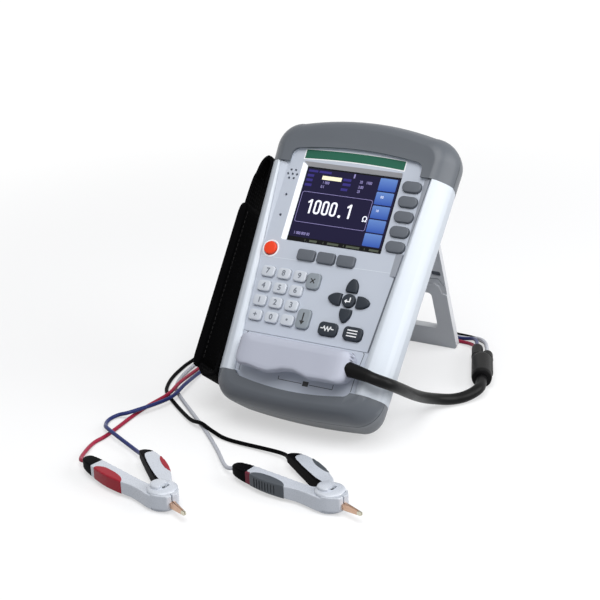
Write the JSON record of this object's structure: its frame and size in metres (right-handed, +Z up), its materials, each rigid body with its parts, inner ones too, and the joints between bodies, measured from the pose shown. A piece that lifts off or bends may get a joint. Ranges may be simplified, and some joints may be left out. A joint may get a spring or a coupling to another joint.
{
  "type": "handheld ohmmeter",
  "caption": "Handheld resistance meter leaning on its folding stand, with a side hand strap, a colour screen, a keypad and a plugged-in four-wire clip lead.",
  "frame": {"origin": "centre of the box of the meter on its stand, without the test lead, at the height of the surface it stands on", "axes": "+X to the right as the screen is read, +Y away from the reader, +Z up"},
  "size_m": [0.2319, 0.3424, 0.1898],
  "materials": {
    "board": "solder mask",
    "bumper": "soft-touch moulded",
    "cable": "satin",
    "cell": "shrink film",
    "clip": "moulded",
    "copper": "stamped",
    "dark_key": "satin",
    "grey_key": "satin",
    "lens": "glossy window",
    "module": "pressed",
    "panel": "fine moulded texture",
    "plug": "satin",
    "power_key": "satin",
    "shell": "fine moulded texture",
    "silicone": "matt",
    "stand": "fine moulded texture",
    "steel": "plated",
    "webbing": "woven",
    "white_key": "satin",
    "wire_blue": "satin",
    "wire_red": "satin",
    "wire_white": "satin"
  },
  "bodies": {
    "meter": {"front_case": "shell", "rear_case": "shell", "top_bumper": "bumper", "bottom_bumper": "bumper", "face_panel": "panel", "screen_lens": "lens", "display_module": "module", "main_board": "board", "keypad_mat": "silicone", "battery_pack": "cell", "battery_cover": "shell", "socket_block": "panel", "case_screws": "steel", "hand_strap": "webbing"},
    "soft_key_1": {"soft_key_1": "grey_key"},
    "soft_key_2": {"soft_key_2": "grey_key"},
    "soft_key_3": {"soft_key_3": "grey_key"},
    "soft_key_4": {"soft_key_4": "grey_key"},
    "soft_key_5": {"soft_key_5": "grey_key"},
    "function_key_1": {"function_key_1": "grey_key"},
    "function_key_2": {"function_key_2": "grey_key"},
    "function_key_3": {"function_key_3": "grey_key"},
    "power_key": {"power_key": "power_key"},
    "number_key_0": {"number_key_0": "white_key"},
    "number_key_1": {"number_key_1": "white_key"},
    "number_key_2": {"number_key_2": "white_key"},
    "number_key_3": {"number_key_3": "white_key"},
    "number_key_4": {"number_key_4": "white_key"},
    "number_key_5": {"number_key_5": "white_key"},
    "number_key_6": {"number_key_6": "white_key"},
    "number_key_7": {"number_key_7": "white_key"},
    "number_key_8": {"number_key_8": "white_key"},
    "number_key_9": {"number_key_9": "white_key"},
    "sign_key": {"sign_key": "white_key"},
    "point_key": {"point_key": "white_key"},
    "escape_key": {"escape_key": "grey_key"},
    "backspace_key": {"backspace_key": "grey_key"},
    "arrow_right_key": {"arrow_right_key": "dark_key"},
    "arrow_up_key": {"arrow_up_key": "dark_key"},
    "arrow_left_key": {"arrow_left_key": "dark_key"},
    "arrow_down_key": {"arrow_down_key": "dark_key"},
    "centre_key": {"centre_key": "dark_key"},
    "measure_key": {"measure_key": "dark_key"},
    "setup_key": {"setup_key": "dark_key"},
    "stand": {"stand": "stand"},
    "test_lead": {"plug_housing": "plug", "plug_pins": "steel", "lead_cable": "cable", "lead_splitter": "cable", "wire_red": "wire_red", "wire_blue": "wire_blue", "wire_black": "cable", "wire_white": "wire_white", "clip_handles": "clip", "clip_jaws": "copper", "clip_pivots": "steel"},
    "red_lever": {"red_lever": "clip", "red_lever_jaw": "copper"},
    "grey_lever": {"grey_lever": "clip", "grey_lever_jaw": "copper"}
  },
  "joints": [
    {"name": "soft_key_1_press", "type": "slide", "parent": "meter", "child": "soft_key_1", "axis": [0, 0.788, -0.6157], "range_m": [0, 0.0012], "stiffness_N_per_m": 400, "springref_m": -0.0005},
    {"name": "soft_key_2_press", "type": "slide", "parent": "meter", "child": "soft_key_2", "axis": [0, 0.788, -0.6157], "range_m": [0, 0.0012], "stiffness_N_per_m": 400, "springref_m": -0.0005},
    {"name": "soft_key_3_press", "type": "slide", "parent": "meter", "child": "soft_key_3", "axis": [0, 0.788, -0.6157], "range_m": [0, 0.0012], "stiffness_N_per_m": 400, "springref_m": -0.0005},
    {"name": "soft_key_4_press", "type": "slide", "parent": "meter", "child": "soft_key_4", "axis": [0, 0.788, -0.6157], "range_m": [0, 0.0012], "stiffness_N_per_m": 400, "springref_m": -0.0005},
    {"name": "soft_key_5_press", "type": "slide", "parent": "meter", "child": "soft_key_5", "axis": [0, 0.788, -0.6157], "range_m": [0, 0.0012], "stiffness_N_per_m": 400, "springref_m": -0.0005},
    {"name": "function_key_1_press", "type": "slide", "parent": "meter", "child": "function_key_1", "axis": [0, 0.788, -0.6157], "range_m": [0, 0.0012], "stiffness_N_per_m": 400, "springref_m": -0.0005},
    {"name": "function_key_2_press", "type": "slide", "parent": "meter", "child": "function_key_2", "axis": [0, 0.788, -0.6157], "range_m": [0, 0.0012], "stiffness_N_per_m": 400, "springref_m": -0.0005},
    {"name": "function_key_3_press", "type": "slide", "parent": "meter", "child": "function_key_3", "axis": [0, 0.788, -0.6157], "range_m": [0, 0.0012], "stiffness_N_per_m": 400, "springref_m": -0.0005},
    {"name": "power_key_press", "type": "slide", "parent": "meter", "child": "power_key", "axis": [0, 0.788, -0.6157], "range_m": [0, 0.0012], "stiffness_N_per_m": 400, "springref_m": -0.0005},
    {"name": "number_key_0_press", "type": "slide", "parent": "meter", "child": "number_key_0", "axis": [0, 0.788, -0.6157], "range_m": [0, 0.0012], "stiffness_N_per_m": 400, "springref_m": -0.0005},
    {"name": "number_key_1_press", "type": "slide", "parent": "meter", "child": "number_key_1", "axis": [0, 0.788, -0.6157], "range_m": [0, 0.0012], "stiffness_N_per_m": 400, "springref_m": -0.0005},
    {"name": "number_key_2_press", "type": "slide", "parent": "meter", "child": "number_key_2", "axis": [0, 0.788, -0.6157], "range_m": [0, 0.0012], "stiffness_N_per_m": 400, "springref_m": -0.0005},
    {"name": "number_key_3_press", "type": "slide", "parent": "meter", "child": "number_key_3", "axis": [0, 0.788, -0.6157], "range_m": [0, 0.0012], "stiffness_N_per_m": 400, "springref_m": -0.0005},
    {"name": "number_key_4_press", "type": "slide", "parent": "meter", "child": "number_key_4", "axis": [0, 0.788, -0.6157], "range_m": [0, 0.0012], "stiffness_N_per_m": 400, "springref_m": -0.0005},
    {"name": "number_key_5_press", "type": "slide", "parent": "meter", "child": "number_key_5", "axis": [0, 0.788, -0.6157], "range_m": [0, 0.0012], "stiffness_N_per_m": 400, "springref_m": -0.0005},
    {"name": "number_key_6_press", "type": "slide", "parent": "meter", "child": "number_key_6", "axis": [0, 0.788, -0.6157], "range_m": [0, 0.0012], "stiffness_N_per_m": 400, "springref_m": -0.0005},
    {"name": "number_key_7_press", "type": "slide", "parent": "meter", "child": "number_key_7", "axis": [0, 0.788, -0.6157], "range_m": [0, 0.0012], "stiffness_N_per_m": 400, "springref_m": -0.0005},
    {"name": "number_key_8_press", "type": "slide", "parent": "meter", "child": "number_key_8", "axis": [0, 0.788, -0.6157], "range_m": [0, 0.0012], "stiffness_N_per_m": 400, "springref_m": -0.0005},
    {"name": "number_key_9_press", "type": "slide", "parent": "meter", "child": "number_key_9", "axis": [0, 0.788, -0.6157], "range_m": [0, 0.0012], "stiffness_N_per_m": 400, "springref_m": -0.0005},
    {"name": "sign_key_press", "type": "slide", "parent": "meter", "child": "sign_key", "axis": [0, 0.788, -0.6157], "range_m": [0, 0.0012], "stiffness_N_per_m": 400, "springref_m": -0.0005},
    {"name": "point_key_press", "type": "slide", "parent": "meter", "child": "point_key", "axis": [0, 0.788, -0.6157], "range_m": [0, 0.0012], "stiffness_N_per_m": 400, "springref_m": -0.0005},
    {"name": "escape_key_press", "type": "slide", "parent": "meter", "child": "escape_key", "axis": [0, 0.788, -0.6157], "range_m": [0, 0.0012], "stiffness_N_per_m": 400, "springref_m": -0.0005},
    {"name": "backspace_key_press", "type": "slide", "parent": "meter", "child": "backspace_key", "axis": [0, 0.788, -0.6157], "range_m": [0, 0.0012], "stiffness_N_per_m": 400, "springref_m": -0.0005},
    {"name": "arrow_right_key_press", "type": "slide", "parent": "meter", "child": "arrow_right_key", "axis": [0, 0.788, -0.6157], "range_m": [0, 0.0012], "stiffness_N_per_m": 400, "springref_m": -0.0005},
    {"name": "arrow_up_key_press", "type": "slide", "parent": "meter", "child": "arrow_up_key", "axis": [0, 0.788, -0.6157], "range_m": [0, 0.0012], "stiffness_N_per_m": 400, "springref_m": -0.0005},
    {"name": "arrow_left_key_press", "type": "slide", "parent": "meter", "child": "arrow_left_key", "axis": [0, 0.788, -0.6157], "range_m": [0, 0.0012], "stiffness_N_per_m": 400, "springref_m": -0.0005},
    {"name": "arrow_down_key_press", "type": "slide", "parent": "meter", "child": "arrow_down_key", "axis": [0, 0.788, -0.6157], "range_m": [0, 0.0012], "stiffness_N_per_m": 400, "springref_m": -0.0005},
    {"name": "centre_key_press", "type": "slide", "parent": "meter", "child": "centre_key", "axis": [0, 0.788, -0.6157], "range_m": [0, 0.0012], "stiffness_N_per_m": 400, "springref_m": -0.0005},
    {"name": "measure_key_press", "type": "slide", "parent": "meter", "child": "measure_key", "axis": [0, 0.788, -0.6157], "range_m": [0, 0.0012], "stiffness_N_per_m": 400, "springref_m": -0.0005},
    {"name": "setup_key_press", "type": "slide", "parent": "meter", "child": "setup_key", "axis": [0, 0.788, -0.6157], "range_m": [0, 0.0012], "stiffness_N_per_m": 400, "springref_m": -0.0005},
    {"name": "stand_fold", "type": "hinge", "parent": "meter", "child": "stand", "pos_m": [0.00825, 0.04556, 0.14259], "axis": [-1, 0, 0], "range_deg": [0, 58]},
    {"name": "plug_pull", "type": "slide", "parent": "meter", "child": "test_lead", "axis": [0, -0.788, 0.6157], "range_m": [0, 0.006]},
    {"name": "red_clip_open", "type": "hinge", "parent": "test_lead", "child": "red_lever", "pos_m": [-0.01945, -0.20738, 0.0071], "axis": [0, 0, 1], "range_deg": [0, 20], "stiffness_Nm_per_rad": 0.6, "springref_deg": -17.19},
    {"name": "grey_clip_open", "type": "hinge", "parent": "test_lead", "child": "grey_lever", "pos_m": [0.07645, -0.16408, 0.0071], "axis": [0, 0, 1], "range_deg": [0, 20], "stiffness_Nm_per_rad": 0.6, "springref_deg": -17.19}
  ]
}
